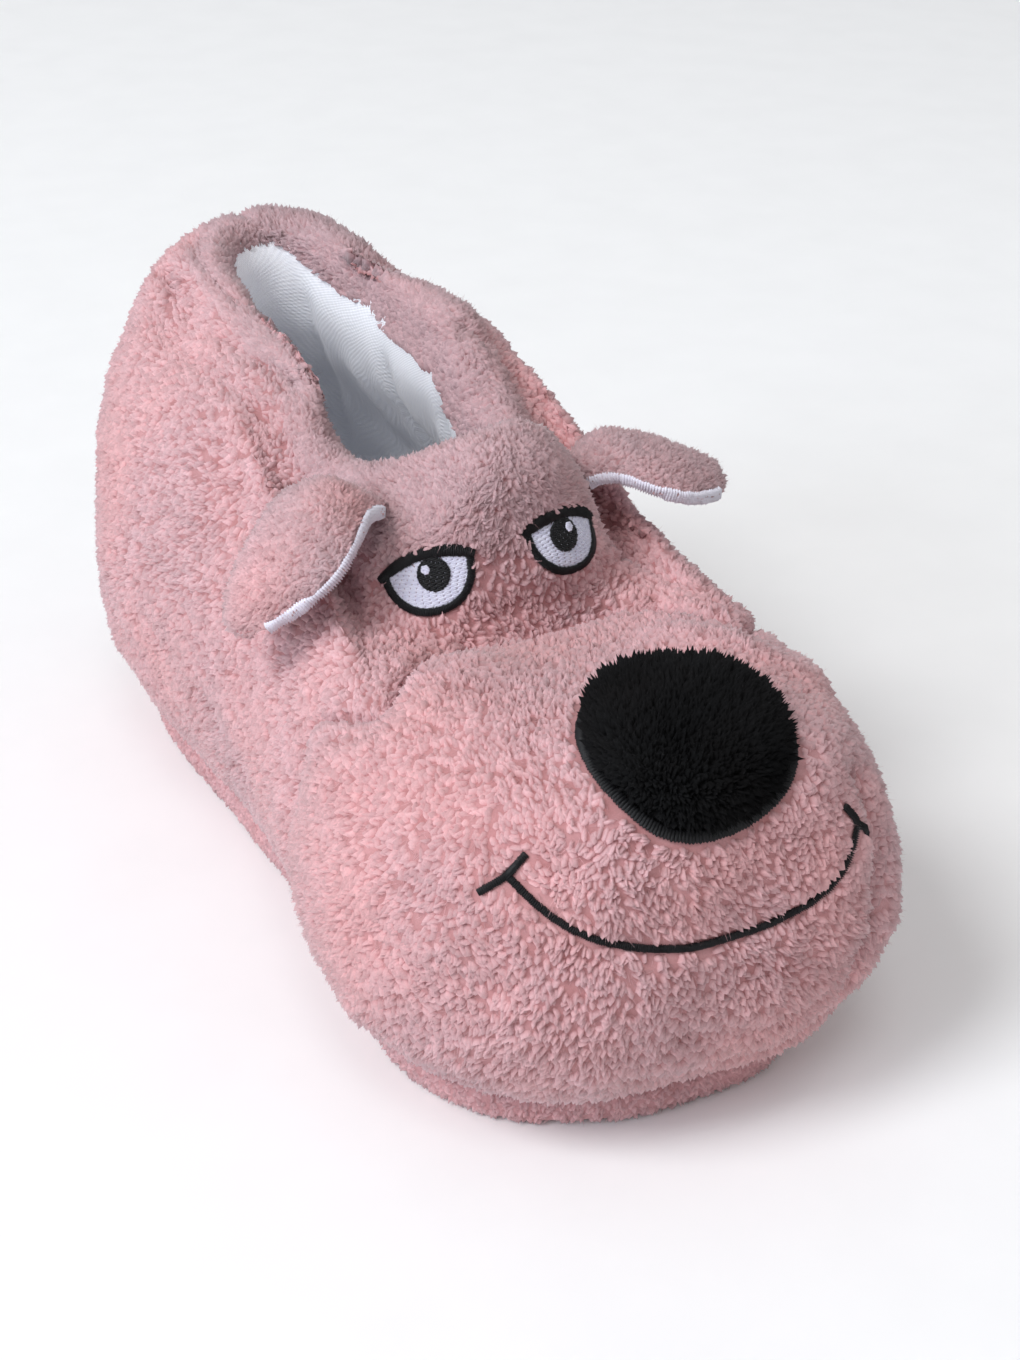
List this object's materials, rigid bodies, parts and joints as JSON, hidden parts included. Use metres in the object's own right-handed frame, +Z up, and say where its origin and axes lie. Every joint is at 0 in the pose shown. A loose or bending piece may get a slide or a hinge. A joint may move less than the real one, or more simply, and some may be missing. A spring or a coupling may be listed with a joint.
{
  "type": "house slipper",
  "caption": "Plush house slipper: hollow padded upper with rolled collar, blunt stuffed muzzle toe, plush nose patch, two drooping ears and a soft flat sole.",
  "frame": {"origin": "on the sole's underside, half way along the slipper's length and on the heel's centre line", "axes": "+Z up, toe towards -Y, heel towards +Y, the slipper's right side towards -X"},
  "size_m": [0.1486, 0.3008, 0.1502],
  "materials": {
    "fleece": "coral fleece, matt, 3 mm pile",
    "sole_fleece": "short coral fleece over foam, grip dots underneath",
    "lining": "smooth white woven cotton and satin",
    "nose_plush": "black plush pile, black satin stitching"
  },
  "bodies": {
    "root": {"outsole": "sole_fleece", "insole": "lining", "upper": "fleece", "nose": "nose_plush", "ear_right": "fleece", "ear_left": "fleece"}
  },
  "joints": []
}
